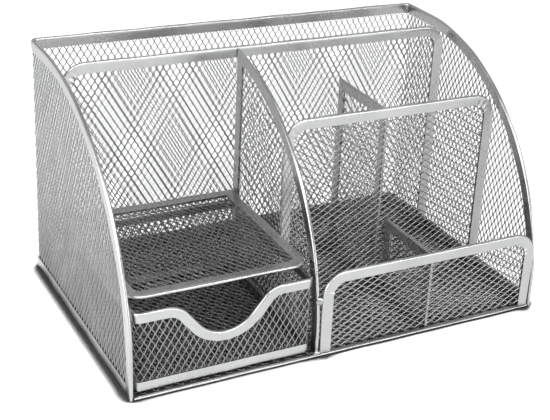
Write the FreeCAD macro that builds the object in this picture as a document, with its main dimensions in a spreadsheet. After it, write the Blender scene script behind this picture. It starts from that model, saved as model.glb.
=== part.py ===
"""Desktop pen stand of silver expanded mesh with folded sheet trims and one drawer.

Every wall is a panel of expanded mesh whose edge sits in the slot of a U-shaped trim
folded from thin sheet. Lengths are in millimetres. The frame has +X to the viewer's
right, the open front facing -Y, +Z up and its origin at the centre of the underside.
"""
import FreeCAD, Part
import math
import os
import re
import Sketcher

# Driving sizes, one spreadsheet cell each
SIZES = {
    "overall": {
        "width": 220.0,
        "depth": 140.0,
        "height": 125.0,
        "sweep_radius": 115.0,
        "least_edge": 6.0,
        "corner_radius": 3.5,
        "bend_lap": 1.5,
    },
    "sheet and mesh": {
        "trim_thick": 2.0,
        "trim_depth": 5.8,
        "sheet_thick": 0.4,
        "mesh_thick": 0.6,
        "base_trim_thick": 1.6,
        "base_trim_depth": 2.6,
        "fit_gap": 0.2,
        "edge_gap": 0.3,
        "overrun": 1.0,
    },
    "diamond lattice": {
        "cell_length": 60.0,
        "cell_width": 40.0,
        "small_cell_length": 40.0,
        "small_cell_width": 26.0,
        "strand_width": 4.0,
        "small_strand_width": 2.8,
        "hem_width": 1.5,
    },
    "partitions": {
        "hoop_radius": 12.5,
        "rear_partition_setback": 40.5,
        "rear_partition_drop": 0.8,
        "divider_offset": 16.2,
        "divider_inset": 0.4,
        "pocket_setback": 48.0,
        "pocket_drop": 0.8,
        "front_panel_height": 44.0,
        "front_panel_inset": 0.2,
        "rear_cross_offset": 43.5,
        "rear_cross_drop": 1.7,
        "front_cross_offset": 46.8,
        "front_cross_drop": 2.5,
    },
    "shelf": {
        "shelf_height": 46.5,
        "shelf_setback": 9.5,
        "shelf_corner_radius": 9.0,
    },
    "drawer": {
        "drawer_setback": 3.0,
        "drawer_headroom": 2.5,
        "drawer_end_gap": 1.8,
        "drawer_side_gap": 1.0,
        "drawer_lift": 0.3,
        "drawer_trim_depth": 5.0,
        "drawer_corner_radius": 3.5,
        "scoop_slant": 8.9,
        "scoop_depth": 17.8,
        "scoop_radius": 17.0,
        "shoulder_radius": 12.5,
    },
}

ALIASES = {name for group in SIZES.values() for name in group}

# Places that several pieces share, written in the driving sizes
SWEEP = "min(sweep_radius; height - least_edge; depth - corner_radius - bend_lap - least_edge)"
SIDE_INNER = "(width / 2 - trim_thick)"
SIDE_MIDDLE = "(width / 2 - trim_thick / 2)"
FRONT = "(-depth / 2)"
REAR_MIDDLE = "(depth / 2 - trim_thick / 2)"
REAR_INNER = "(depth / 2 - trim_thick)"
BEND_START = "(depth / 2 - corner_radius - bend_lap)"
FLOOR = "(base_trim_thick + fit_gap)"
MESH_INSET = "(sheet_thick + edge_gap)"
GRIP = f"(trim_depth - {MESH_INSET})"
SKIN_OUTER = "((trim_thick - mesh_thick) / 2)"
SKIN_INNER = "((trim_thick + mesh_thick) / 2)"

REAR_PARTITION = "(depth / 2 - rear_partition_setback)"
REAR_PARTITION_FACE = f"({REAR_PARTITION} - trim_thick / 2 - fit_gap)"
DIVIDER = "(-divider_offset)"
DIVIDER_LEFT = f"({DIVIDER} - trim_thick / 2)"
DIVIDER_RIGHT = f"({DIVIDER} + trim_thick / 2)"
POCKET = "(pocket_setback - depth / 2)"
SWEEP_AT_POCKET = f"(height - {SWEEP} + sqrt({SWEEP} ^ 2 - ({FRONT} + {SWEEP} - {POCKET}) ^ 2))"
POCKET_TOP = f"({SWEEP_AT_POCKET} - pocket_drop)"
FRONT_PANEL = f"({FRONT} + front_panel_inset + trim_thick / 2)"
BAY_LEFT = f"({DIVIDER_RIGHT} + fit_gap)"
BAY_RIGHT = f"({SIDE_INNER} - fit_gap)"
SHELF = "(shelf_height - trim_thick / 2)"

DRAWER_LEFT = f"(drawer_side_gap - {SIDE_INNER})"
DRAWER_RIGHT = f"({DIVIDER_LEFT} - drawer_side_gap)"
DRAWER_FRONT = f"({FRONT} + drawer_setback)"
DRAWER_REAR = f"({REAR_PARTITION_FACE} - drawer_end_gap)"
DRAWER_BOTTOM = "(base_trim_thick + drawer_lift)"
DRAWER_TOP = "(shelf_height - trim_thick - drawer_headroom)"
DRAWER_MIDDLE = f"(({DRAWER_LEFT} + {DRAWER_RIGHT}) / 2)"
DRAWER_FLAT_LEFT = f"({DRAWER_LEFT} + drawer_corner_radius + bend_lap)"
DRAWER_FLAT_RIGHT = f"({DRAWER_RIGHT} - drawer_corner_radius - bend_lap)"
DRAWER_WALL_LOW = f"({DRAWER_BOTTOM} + {MESH_INSET})"
DRAWER_WALL_HIGH = f"({DRAWER_TOP} - {MESH_INSET})"
DRAWER_GRIP = f"(drawer_trim_depth - {MESH_INSET})"
SCOOP_SPAN = "(2 * (scoop_radius + shoulder_radius) - scoop_depth)"
SCOOP_REACH = f"sqrt(scoop_slant ^ 2 + scoop_depth * {SCOOP_SPAN})"

doc = FreeCAD.newDocument("PenStand")


def make_sheet():
    """Write each driving size into its own aliased cell."""
    sheet = doc.addObject("Spreadsheet::Sheet", "sizes")
    row = 1
    for group, cells in SIZES.items():
        sheet.set(f"A{row}", group)
        row += 1
        for alias, value in cells.items():
            sheet.set(f"A{row}", alias)
            sheet.set(f"B{row}", str(value))
            sheet.setAlias(f"B{row}", alias)
            row += 1
    doc.recompute()
    return sheet


sheet = make_sheet()


def formula(text):
    """Point each size's name in a formula at its cell."""
    return re.sub(r"[A-Za-z_]\w*", lambda m: "sizes." + m[0] if m[0] in ALIASES else m[0], text)


def value(text):
    """Work a formula out as a plain number."""
    return float(sheet.evalExpression(formula(text)))


def bind(feature, name, text):
    """Tie one property of a feature to a formula of the sheet."""
    feature.setExpression(name, formula(text))


class Edge:
    """One straight side of an outline.

    axis is "u" for an upright side and "v" for a level one, place is where it lies,
    inward is 1 or -1, whichever leads inside, and held says whether a trim covers it.
    """

    def __init__(self, axis, place, inward, held=True):
        self.axis = axis
        self.place = place
        self.inward = inward
        self.held = held

    def inset(self, held_inset, open_inset):
        """The side's place when it moves inward."""
        sign = "+" if self.inward > 0 else "-"
        amount = held_inset if self.held else open_inset
        return f"({self.place} {sign} ({amount}))"

    def step_inward(self, distance):
        """The inward move along u and along v."""
        step = self.inward * distance
        return (step, 0) if self.axis == "u" else (0, step)


class Fillet:
    """A rounded corner between two sides.

    round_window says whether the panel's window turns the same corner, and isn't square
    behind the trim's rounded lip.
    """

    def __init__(self, radius, round_window=False):
        self.radius = radius
        self.round_window = round_window


class Sweep:
    """An arc that springs from the next side and is cut off by the one before."""

    def __init__(self, radius, centre_height):
        self.radius = radius
        self.centre_height = centre_height
        self.round_window = True


SHARP = None
SQUARE_CORNERS = [SHARP] * 4


def new_sketch(body, plane, name):
    """Start a sketch on one of a body's own origin planes."""
    sketch = body.newObject("Sketcher::SketchObject", f"{body.Name}_{name}")
    support = next(f for f in body.Origin.OriginFeatures if f.Role == plane)
    sketch.AttachmentSupport = [(support, "")]
    sketch.MapMode = "FlatFace"
    return sketch


def constrain(sketch, constraints):
    """Add constraints, given as Sketcher arguments with a formula or nothing."""
    for arguments, text in constraints:
        if text is None:
            sketch.addConstraint(Sketcher.Constraint(*arguments))
        else:
            index = sketch.addConstraint(Sketcher.Constraint(*arguments, value(text)))
            bind(sketch, f"Constraints[{index}]", text)


def line(start, end):
    return Part.LineSegment(FreeCAD.Vector(*start, 0), FreeCAD.Vector(*end, 0))


def arc(centre, radius, start, end):
    """An anticlockwise arc about centre from the point start to the point end."""
    first = math.atan2(start[1] - centre[1], start[0] - centre[0])
    last = math.atan2(end[1] - centre[1], end[0] - centre[0])
    if last < first:
        last += 2 * math.pi
    circle = Part.Circle(FreeCAD.Vector(*centre, 0), FreeCAD.Vector(0, 0, 1), radius)
    return Part.ArcOfCircle(circle, first, last)


def draw_outline(sketch, edges, corners, held_inset="0", open_inset="0"):
    """Draw a closed anticlockwise outline of upright and level sides.

    Corner number i joins side i to the side after it. Sides under a trim move inward by
    held_inset and the others by open_inset, and the corners' radii shrink to match.
    """
    count = len(edges)
    places = [edge.inset(held_inset, open_inset) for edge in edges]
    numbers = [value(place) for place in places]
    radii = [None] * count
    for i, corner in enumerate(corners):
        held = edges[i].held or edges[(i + 1) % count].held
        text = corner and f"({corner.radius} - ({held_inset if held else open_inset}))"
        if text and value(text) > 0:
            radii[i] = text

    ends = []
    for i, corner in enumerate(corners):
        here, there = numbers[i], numbers[(i + 1) % count]
        meet = (here, there) if edges[i].axis == "u" else (there, here)
        ends.append([meet, meet, meet])
        if radii[i] is None:
            continue
        radius = value(radii[i])
        if isinstance(corner, Sweep):
            centre = (there + radius, value(corner.centre_height))
            rise = math.sqrt(radius ** 2 - (here - centre[0]) ** 2)
            ends[i] = [(here, centre[1] + rise), centre, (there, centre[1])]
            continue
        steps = [edge.step_inward(radius) for edge in (edges[i], edges[(i + 1) % count])]
        centre = (meet[0] + steps[0][0] + steps[1][0], meet[1] + steps[0][1] + steps[1][1])
        before = (meet[0], centre[1]) if edges[i].axis == "u" else (centre[0], meet[1])
        after = (centre[0], meet[1]) if edges[i].axis == "u" else (meet[0], centre[1])
        ends[i] = [before, centre, after]

    lines = [sketch.addGeometry(line(ends[i - 1][2], ends[i][0])) for i in range(count)]
    constraints = []
    for i, edge in enumerate(edges):
        upright = edge.axis == "u"
        constraints.append((("Vertical" if upright else "Horizontal", lines[i]), None))
        kind = "DistanceX" if upright else "DistanceY"
        constraints.append(((kind, -1, 1, lines[i], 1), places[i]))
    for i, corner in enumerate(corners):
        following = lines[(i + 1) % count]
        if radii[i] is None:
            constraints.append((("Coincident", lines[i], 2, following, 1), None))
            continue
        start, centre, end = ends[i]
        curve = sketch.addGeometry(arc(centre, value(radii[i]), start, end))
        join = "Coincident" if isinstance(corner, Sweep) else "Tangent"
        constraints.append(((join, lines[i], 2, curve, 1), None))
        constraints.append((("Tangent", curve, 2, following, 1), None))
        constraints.append((("Radius", curve), radii[i]))
        if isinstance(corner, Sweep):
            constraints.append((("DistanceY", -1, 1, curve, 3), corner.centre_height))
    constrain(sketch, constraints)


def new_body(node):
    body = doc.addObject("PartDesign::Body", node)
    body.Label = node
    return body


def pad(body, sketch, length, symmetric=True):
    feature = body.newObject("PartDesign::Pad", f"{sketch.Name}_pad")
    feature.Profile = sketch
    feature.SideType = "Symmetric" if symmetric else "One side"
    bind(feature, "Length", length)
    sketch.Visibility = False
    return feature


def pocket(body, sketch, length, symmetric=True, reversed_cut=False):
    feature = body.newObject("PartDesign::Pocket", f"{sketch.Name}_pocket")
    feature.Profile = sketch
    feature.SideType = "Symmetric" if symmetric else "One side"
    feature.Reversed = reversed_cut
    bind(feature, "Length", length)
    sketch.Visibility = False
    return feature


def place(body, axis, text):
    """Move a body along one axis to a place worked out from the sheet."""
    bind(body, f"Placement.Base.{axis}", text)


def offset_sketch(sketch, text):
    """Lift a sketch off its plane along the plane's normal."""
    bind(sketch, "AttachmentOffset.Base.z", text)


def draw_wave(sketch, drop, side_inset, bottom):
    """Draw the drawer front's outline, its top edge waving down into the finger scoop.

    The outline is drop lower than the drawer's edge all along, so the scoop's arc grows
    by drop and the shoulders' arcs shrink by it, about the same centres.
    """
    top = f"({DRAWER_TOP} - ({drop}))"
    left = f"({DRAWER_FLAT_LEFT} + ({side_inset}))"
    right = f"({DRAWER_FLAT_RIGHT} - ({side_inset}))"
    scoop = f"(scoop_radius + ({drop}))"
    shoulder = f"(shoulder_radius - ({drop}))"
    scoop_height = f"({DRAWER_TOP} - scoop_depth + scoop_radius)"
    left_shoulder = f"({DRAWER_MIDDLE} - {SCOOP_REACH})"
    right_shoulder = f"({DRAWER_MIDDLE} + {SCOOP_REACH})"

    middle, low, high = value(DRAWER_MIDDLE), value(scoop_height), value(top)
    reach = value(SCOOP_REACH)
    r_scoop, r_shoulder = value(scoop), value(shoulder)
    fall = high - r_shoulder - low
    slope = math.atan2(fall, reach) + math.asin((r_scoop + r_shoulder) / math.hypot(reach, fall))
    foot_u, foot_v = r_scoop * math.sin(slope), low - r_scoop * math.cos(slope)
    neck_u = reach - r_shoulder * math.sin(slope)
    neck_v = high - r_shoulder + r_shoulder * math.cos(slope)
    u0, u1, v0 = value(left), value(right), value(bottom)

    base = sketch.addGeometry(line((u0, v0), (u1, v0)))
    side_right = sketch.addGeometry(line((u1, v0), (u1, high)))
    top_right = sketch.addGeometry(line((u1, high), (middle + reach, high)))
    arc_right = sketch.addGeometry(arc((middle + reach, high - r_shoulder), r_shoulder,
                                       (middle + reach, high), (middle + neck_u, neck_v)))
    slant_right = sketch.addGeometry(line((middle + neck_u, neck_v), (middle + foot_u, foot_v)))
    arc_scoop = sketch.addGeometry(arc((middle, low), r_scoop,
                                       (middle - foot_u, foot_v), (middle + foot_u, foot_v)))
    slant_left = sketch.addGeometry(line((middle - foot_u, foot_v), (middle - neck_u, neck_v)))
    arc_left = sketch.addGeometry(arc((middle - reach, high - r_shoulder), r_shoulder,
                                      (middle - neck_u, neck_v), (middle - reach, high)))
    top_left = sketch.addGeometry(line((middle - reach, high), (u0, high)))
    side_left = sketch.addGeometry(line((u0, high), (u0, v0)))

    constrain(sketch, [
        (("Horizontal", base), None),
        (("Vertical", side_right), None),
        (("Horizontal", top_right), None),
        (("Horizontal", top_left), None),
        (("Vertical", side_left), None),
        (("Coincident", base, 2, side_right, 1), None),
        (("Coincident", side_right, 2, top_right, 1), None),
        (("Tangent", top_right, 2, arc_right, 1), None),
        (("Tangent", arc_right, 2, slant_right, 1), None),
        (("Tangent", slant_right, 2, arc_scoop, 2), None),
        (("Tangent", arc_scoop, 1, slant_left, 1), None),
        (("Tangent", slant_left, 2, arc_left, 1), None),
        (("Tangent", arc_left, 2, top_left, 1), None),
        (("Coincident", top_left, 2, side_left, 1), None),
        (("Coincident", side_left, 2, base, 1), None),
        (("DistanceY", -1, 1, base, 1), bottom),
        (("DistanceX", -1, 1, side_right, 1), right),
        (("DistanceX", -1, 1, side_left, 1), left),
        (("DistanceY", -1, 1, top_right, 1), top),
        (("DistanceY", -1, 1, top_left, 1), top),
        (("Radius", arc_right), shoulder),
        (("Radius", arc_left), shoulder),
        (("Radius", arc_scoop), scoop),
        (("DistanceX", -1, 1, arc_right, 3), right_shoulder),
        (("DistanceX", -1, 1, arc_left, 3), left_shoulder),
        (("DistanceX", -1, 1, arc_scoop, 3), DRAWER_MIDDLE),
        (("DistanceY", -1, 1, arc_scoop, 3), scoop_height),
    ])


class Lattice:
    """A staggered lattice of diamonds that fills a window with whole cells both ways.

    The window's lowest corner and span say where it lies, and its cells come as near to
    cell_u by cell_v as a whole number of them can.
    """

    def __init__(self, cell_u, cell_v, strand, box):
        low_u, high_u, low_v, high_v = box
        self.start = (low_u, low_v)
        self.span_u = f"({high_u} - {low_u})"
        self.span_v = f"({high_v} - {low_v})"
        self.columns = f"max(1; round({self.span_u} / {cell_u}))"
        self.rows = f"max(1; round({self.span_v} / {cell_v}))"
        self.pitch_u = f"({self.span_u} / {self.columns})"
        self.pitch_v = f"({self.span_v} / {self.rows})"
        diagonal = f"sqrt({self.pitch_u} ^ 2 + {self.pitch_v} ^ 2)"
        self.half_u = f"(({self.pitch_u} - {strand} * {diagonal} / {self.pitch_v}) / 2)"
        self.half_v = f"(({self.pitch_v} - {strand} * {diagonal} / {self.pitch_u}) / 2)"


def upright(box):
    """The lattice with its cells' long way up the panel."""
    return Lattice("cell_width", "cell_length", "strand_width", box)


def level(box):
    """The lattice with its cells' long way across the panel."""
    return Lattice("cell_length", "cell_width", "strand_width", box)


def small_upright(box):
    return Lattice("small_cell_width", "small_cell_length", "small_strand_width", box)


def small_level(box):
    return Lattice("small_cell_length", "small_cell_width", "small_strand_width", box)


def draw_diamond(sketch, lattice, centre_u, centre_v):
    """Draw one opening of the lattice about its centre."""
    tips = [
        (f"({centre_u} + {lattice.half_u})", centre_v),
        (centre_u, f"({centre_v} + {lattice.half_v})"),
        (f"({centre_u} - {lattice.half_u})", centre_v),
        (centre_u, f"({centre_v} - {lattice.half_v})"),
    ]
    numbers = [(value(u), value(v)) for u, v in tips]
    sides = [sketch.addGeometry(line(numbers[i], numbers[(i + 1) % 4])) for i in range(4)]
    constraints = []
    for i, side in enumerate(sides):
        constraints.append((("Coincident", side, 2, sides[(i + 1) % 4], 1), None))
        constraints.append((("DistanceX", -1, 1, side, 1), tips[i][0]))
        constraints.append((("DistanceY", -1, 1, side, 1), tips[i][1]))
    constrain(sketch, constraints)


def pierce(body, plane, offset, lattice):
    """Pierce a panel with the lattice, two diamonds patterned both ways over the window."""
    start_u, start_v = lattice.start
    sketch = new_sketch(body, plane, "diamonds")
    offset_sketch(sketch, offset)
    draw_diamond(sketch, lattice, start_u, start_v)
    draw_diamond(sketch, lattice, f"({start_u} + {lattice.pitch_u} / 2)",
                 f"({start_v} + {lattice.pitch_v} / 2)")
    hole = pocket(body, sketch, "mesh_thick + overrun")
    pattern = body.newObject("PartDesign::LinearPattern", f"{body.Name}_lattice")
    pattern.Originals = [hole]
    pattern.Direction = (sketch, ["H_Axis"])
    pattern.Direction2 = (sketch, ["V_Axis"])
    pattern.Mode = "Extent"
    pattern.Mode2 = "Extent"
    bind(pattern, "Length", lattice.span_u)
    bind(pattern, "Length2", lattice.span_v)
    bind(pattern, "Occurrences", f"{lattice.columns} + 1")
    bind(pattern, "Occurrences2", f"{lattice.rows} + 1")
    body.Tip = pattern


def finish_mesh(body, plane, offset, lattice, draw_plate, draw_window):
    """Pierce a panel and press its hem flat again where the trims grip it."""
    pierce(body, plane, offset, lattice)
    sketch = new_sketch(body, plane, "hem")
    offset_sketch(sketch, offset)
    draw_plate(sketch)
    draw_window(sketch)
    pad(body, sketch, "mesh_thick")


AXES = {"XY_Plane": "z", "XZ_Plane": "y", "YZ_Plane": "x"}


def box_of(edges, inset="trim_depth", hem="hem_width"):
    """The lowest and highest place of a panel's window along u and along v."""
    found = {}
    for edge in edges:
        text = edge.inset(inset, hem)
        found.setdefault(edge.axis, []).append(text)
    result = []
    for axis in "uv":
        texts = sorted(found[axis], key=value)
        result += [texts[0], texts[-1]]
    return result


def window_corners(corners):
    """The corners of a panel's window, square where the trim's rounded lip hides them."""
    return [corner if corner and corner.round_window else SHARP for corner in corners]


def make_mesh(node, plane, offset, edges, corners, lattice, box=None):
    """A flat panel of mesh: its plate, its diamonds and its flat hem."""
    body = new_body(node)
    sketch = new_sketch(body, plane, "plate")
    draw_outline(sketch, edges, corners, MESH_INSET)
    pad(body, sketch, "mesh_thick")
    finish_mesh(
        body, plane, "0", lattice(box or box_of(edges)),
        lambda hem: draw_outline(hem, edges, corners, MESH_INSET),
        lambda hem: draw_outline(hem, edges, window_corners(corners), "trim_depth", "hem_width"),
    )
    place(body, AXES[plane], offset)
    return body


def make_trim(node, plane, offset, edges, corners, depth="trim_depth"):
    """A folded U trim along a panel's held sides, with the slot that grips the mesh."""
    body = new_body(node)
    sketch = new_sketch(body, plane, "outline")
    draw_outline(sketch, edges, corners)
    pad(body, sketch, "trim_thick")
    sketch = new_sketch(body, plane, "window")
    draw_outline(sketch, edges, corners, depth, "-overrun")
    pocket(body, sketch, "trim_thick + overrun")
    sketch = new_sketch(body, plane, "slot")
    draw_outline(sketch, edges, corners, "sheet_thick", "-overrun")
    pocket(body, sketch, "trim_thick - 2 * sheet_thick")
    place(body, AXES[plane], offset)
    return body


def end_edges(bottom_held):
    """The sides of an end panel: foot, rear, top and front."""
    return [
        Edge("v", "0", 1, bottom_held),
        Edge("u", BEND_START, -1, False),
        Edge("v", "height", -1),
        Edge("u", FRONT, 1),
    ]


END_CORNERS = [SHARP, SHARP, Fillet(SWEEP, round_window=True), SHARP]


def make_end_panels():
    """The two end walls, whose top edge sweeps down to the open front."""
    for side, sign in (("left", "-"), ("right", "")):
        offset = f"{sign}{SIDE_MIDDLE}"
        make_mesh(f"{side}_end_mesh", "YZ_Plane", offset, end_edges(True), END_CORNERS, upright)
        make_trim(f"{side}_end_trim", "YZ_Plane", offset, end_edges(False), END_CORNERS)


def wall_edges(front, left="(-width / 2)", right="(width / 2)", rear="(depth / 2)"):
    """The plan of a wall that wraps round the sides and the rear and is open in front."""
    return [
        Edge("v", front, 1, False),
        Edge("u", right, -1),
        Edge("v", rear, -1),
        Edge("u", left, 1),
    ]


def wrap_corners(radius):
    return [SHARP, Fillet(radius), Fillet(radius), SHARP]


def make_shell(body, edges, corners, outer, inner, height):
    """Stand a bent wall on its plan, between two insets of one outline."""
    sketch = new_sketch(body, "XY_Plane", "plan")
    draw_outline(sketch, edges, corners, outer)
    pad(body, sketch, height, symmetric=False)
    sketch = new_sketch(body, "XY_Plane", "room")
    draw_outline(sketch, edges, corners, inner, "-overrun")
    pocket(body, sketch, height, symmetric=False, reversed_cut=True)


def cut_slot(body, edges, corners, floor, height):
    """Cut the slot that grips a bent mesh into a bent trim."""
    sketch = new_sketch(body, "XY_Plane", "slot")
    offset_sketch(sketch, floor)
    draw_outline(sketch, edges, corners, "sheet_thick", "-2 * overrun")
    draw_outline(sketch, edges, corners, "trim_thick - sheet_thick", "-overrun")
    pocket(body, sketch, height, symmetric=False, reversed_cut=True)


def make_back():
    """The rear wall with its two bent corners, and the trim along its top."""
    edges = wall_edges(BEND_START)
    corners = wrap_corners("corner_radius")
    body = new_body("back_mesh")
    tall = f"(height - 2 * {MESH_INSET})"
    make_shell(body, edges, corners, SKIN_OUTER, SKIN_INNER, tall)
    place(body, "z", MESH_INSET)

    flat = "(width / 2 - corner_radius)"
    panel = [
        Edge("v", "0", 1),
        Edge("u", flat, -1, False),
        Edge("v", tall, -1),
        Edge("u", f"(-{flat})", 1, False),
    ]
    finish_mesh(
        body, "XZ_Plane", f"-{REAR_MIDDLE}", upright(box_of(panel, GRIP)),
        lambda hem: draw_outline(hem, panel, SQUARE_CORNERS),
        lambda hem: draw_outline(hem, panel, SQUARE_CORNERS, GRIP, "hem_width"),
    )

    body = new_body("back_trim")
    make_shell(body, edges, corners, "0", "trim_thick", "trim_depth")
    cut_slot(body, edges, corners, "0", "trim_depth - sheet_thick")
    place(body, "z", "height - trim_depth")


def make_base():
    """The floor of mesh, the hem along its front and the channel round the other sides."""
    side = BAY_RIGHT
    radius = "(corner_radius - trim_thick - fit_gap)"
    edges = [
        Edge("v", FRONT, 1),
        Edge("u", side, -1, False),
        Edge("v", f"({REAR_INNER} - fit_gap)", -1, False),
        Edge("u", f"(-{side})", 1, False),
    ]
    corners = [SHARP, Fillet(radius), Fillet(radius), SHARP]
    make_mesh("base_mesh", "XY_Plane", "base_trim_thick / 2", edges, corners, level)

    body = new_body("base_front_trim")
    edges[2] = Edge("v", f"({FRONT} + base_trim_depth)", -1, False)
    sketch = new_sketch(body, "XY_Plane", "outline")
    draw_outline(sketch, edges, SQUARE_CORNERS)
    pad(body, sketch, "base_trim_thick")
    sketch = new_sketch(body, "XY_Plane", "slot")
    draw_outline(sketch, edges, SQUARE_CORNERS, "sheet_thick", "-overrun")
    pocket(body, sketch, "base_trim_thick - 2 * sheet_thick")
    place(body, "z", "base_trim_thick / 2")

    edges = wall_edges(f"({FRONT} + trim_depth + fit_gap)")
    corners = wrap_corners("corner_radius")
    body = new_body("foot_trim")
    make_shell(body, edges, corners, "0", "trim_thick", "trim_depth")
    cut_slot(body, edges, corners, "sheet_thick", "trim_depth")


def hoop_edges(left, right, top):
    """The sides of an upright panel that stands on the floor inside a three-sided hoop."""
    return [
        Edge("v", FLOOR, 1, False),
        Edge("u", right, -1),
        Edge("v", top, -1),
        Edge("u", left, 1),
    ]


HOOP_CORNERS = [SHARP, Fillet("hoop_radius"), Fillet("hoop_radius"), SHARP]


def make_panel(name, plane, offset, edges, corners, lattice, box=None):
    make_mesh(f"{name}_mesh", plane, offset, edges, corners, lattice, box)
    make_trim(f"{name}_trim", plane, offset, edges, corners)


def make_partitions():
    """The upright panels inside: letter slot, pocket, front, and those that cross them."""
    edges = hoop_edges(f"(-{BAY_RIGHT})", BAY_RIGHT, "(height - rear_partition_drop)")
    make_panel("rear_partition", "XZ_Plane", REAR_PARTITION, edges, HOOP_CORNERS, upright)

    edges = hoop_edges(BAY_LEFT, BAY_RIGHT, POCKET_TOP)
    make_panel("pocket_partition", "XZ_Plane", POCKET, edges, HOOP_CORNERS, level)

    edges = hoop_edges(BAY_LEFT, BAY_RIGHT, "front_panel_height")
    make_panel("front_panel", "XZ_Plane", FRONT_PANEL, edges, HOOP_CORNERS, small_level)

    half = "trim_thick / 2 + fit_gap"
    edges = hoop_edges(f"({POCKET} + {half})", REAR_PARTITION_FACE,
                       f"({POCKET_TOP} - rear_cross_drop)")
    make_panel("rear_cross_divider", "YZ_Plane", "rear_cross_offset", edges,
               SQUARE_CORNERS, upright)

    edges = hoop_edges(f"({FRONT_PANEL} + {half})", f"({POCKET} - ({half}))",
                       "(front_panel_height - front_cross_drop)")
    make_panel("front_cross_divider", "YZ_Plane", "front_cross_offset", edges,
               SQUARE_CORNERS, small_level)


def make_middle_divider():
    """The tall divider, which follows the end walls' sweep from the rear partition."""
    edges = [
        Edge("v", FLOOR, 1, False),
        Edge("u", REAR_PARTITION_FACE, -1),
        Edge("u", f"({FRONT} + divider_inset)", 1),
    ]
    corners = [SHARP, Sweep(f"({SWEEP} - divider_inset)", f"(height - {SWEEP})"), SHARP]
    low_u, high_u, low_v, high_v = box_of(edges)
    make_panel("middle_divider", "YZ_Plane", DIVIDER, edges, corners, upright,
               (low_u, high_u, low_v, "height"))


def make_shelf():
    """The level shelf over the drawer, with its two front corners rounded."""
    edges = [
        Edge("v", f"({FRONT} + shelf_setback)", 1),
        Edge("u", f"({DIVIDER_LEFT} - fit_gap)", -1),
        Edge("v", REAR_PARTITION_FACE, -1),
        Edge("u", f"(-{BAY_RIGHT})", 1),
    ]
    corners = [Fillet("shelf_corner_radius"), SHARP, SHARP, Fillet("shelf_corner_radius")]
    make_panel("shelf", "XY_Plane", SHELF, edges, corners, upright)


def drawer_edges(left=DRAWER_LEFT, right=DRAWER_RIGHT, left_held=True, right_held=True):
    return [
        Edge("v", DRAWER_FRONT, 1),
        Edge("u", right, -1, right_held),
        Edge("v", DRAWER_REAR, -1),
        Edge("u", left, 1, left_held),
    ]


ROUND = Fillet("drawer_corner_radius")
DRAWER_CORNERS = [ROUND] * 4


def make_drawer_side(side):
    """One side wall of the drawer, bent round into the front and the rear."""
    left = side == "left"
    bend = DRAWER_FLAT_LEFT if left else DRAWER_FLAT_RIGHT
    body = new_body(f"drawer_{side}_mesh")
    height = f"({DRAWER_WALL_HIGH} - {DRAWER_WALL_LOW})"
    if left:
        edges = drawer_edges(right=bend, right_held=False)
        corners = [SHARP, SHARP, ROUND, ROUND]
        middle = f"({DRAWER_LEFT} + trim_thick / 2)"
    else:
        edges = drawer_edges(left=bend, left_held=False)
        corners = [ROUND, ROUND, SHARP, SHARP]
        middle = f"({DRAWER_RIGHT} - trim_thick / 2)"
    make_shell(body, edges, corners, SKIN_OUTER, SKIN_INNER, height)
    place(body, "z", DRAWER_WALL_LOW)

    flat = [
        Edge("v", "0", 1),
        Edge("u", f"({DRAWER_REAR} - drawer_corner_radius)", -1, False),
        Edge("v", height, -1),
        Edge("u", f"({DRAWER_FRONT} + drawer_corner_radius)", 1, False),
    ]
    finish_mesh(
        body, "YZ_Plane", middle, small_upright(box_of(flat, DRAWER_GRIP)),
        lambda hem: draw_outline(hem, flat, SQUARE_CORNERS),
        lambda hem: draw_outline(hem, flat, SQUARE_CORNERS, DRAWER_GRIP, "hem_width"),
    )


def make_drawer_rear():
    """The flat rear wall of the drawer."""
    edges = [
        Edge("v", DRAWER_WALL_LOW, 1),
        Edge("u", DRAWER_FLAT_RIGHT, -1, False),
        Edge("v", DRAWER_WALL_HIGH, -1),
        Edge("u", DRAWER_FLAT_LEFT, 1, False),
    ]
    body = new_body("drawer_rear_mesh")
    sketch = new_sketch(body, "XZ_Plane", "plate")
    draw_outline(sketch, edges, SQUARE_CORNERS)
    pad(body, sketch, "mesh_thick")
    finish_mesh(
        body, "XZ_Plane", "0", small_upright(box_of(edges, DRAWER_GRIP)),
        lambda hem: draw_outline(hem, edges, SQUARE_CORNERS),
        lambda hem: draw_outline(hem, edges, SQUARE_CORNERS, DRAWER_GRIP, "hem_width"),
    )
    place(body, "y", f"{DRAWER_REAR} - trim_thick / 2")


def make_drawer_front():
    """The waved front wall of the drawer and the trim that follows its finger scoop."""
    middle = f"{DRAWER_FRONT} + trim_thick / 2"
    body = new_body("drawer_front_mesh")
    sketch = new_sketch(body, "XZ_Plane", "plate")
    draw_wave(sketch, MESH_INSET, "0", DRAWER_WALL_LOW)
    pad(body, sketch, "mesh_thick")
    low_v = f"({DRAWER_BOTTOM} + drawer_trim_depth)"
    box = (f"({DRAWER_FLAT_LEFT} + hem_width)", f"({DRAWER_FLAT_RIGHT} - hem_width)", low_v,
           f"({DRAWER_TOP} - drawer_trim_depth)")
    finish_mesh(
        body, "XZ_Plane", "0", small_upright(box),
        lambda hem: draw_wave(hem, MESH_INSET, "0", DRAWER_WALL_LOW),
        lambda hem: draw_wave(hem, "drawer_trim_depth", "hem_width", low_v),
    )
    place(body, "y", middle)

    body = new_body("drawer_front_trim")
    foot = f"({DRAWER_TOP} - scoop_depth - drawer_trim_depth - overrun)"
    sketch = new_sketch(body, "XZ_Plane", "outline")
    draw_wave(sketch, "0", "0", foot)
    pad(body, sketch, "trim_thick")
    sketch = new_sketch(body, "XZ_Plane", "window")
    draw_wave(sketch, "drawer_trim_depth", "-overrun", f"({foot} - overrun)")
    pocket(body, sketch, "trim_thick + overrun")
    sketch = new_sketch(body, "XZ_Plane", "slot")
    draw_wave(sketch, "sheet_thick", "-overrun", f"({foot} - overrun)")
    pocket(body, sketch, "trim_thick - 2 * sheet_thick")
    place(body, "y", middle)


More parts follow.
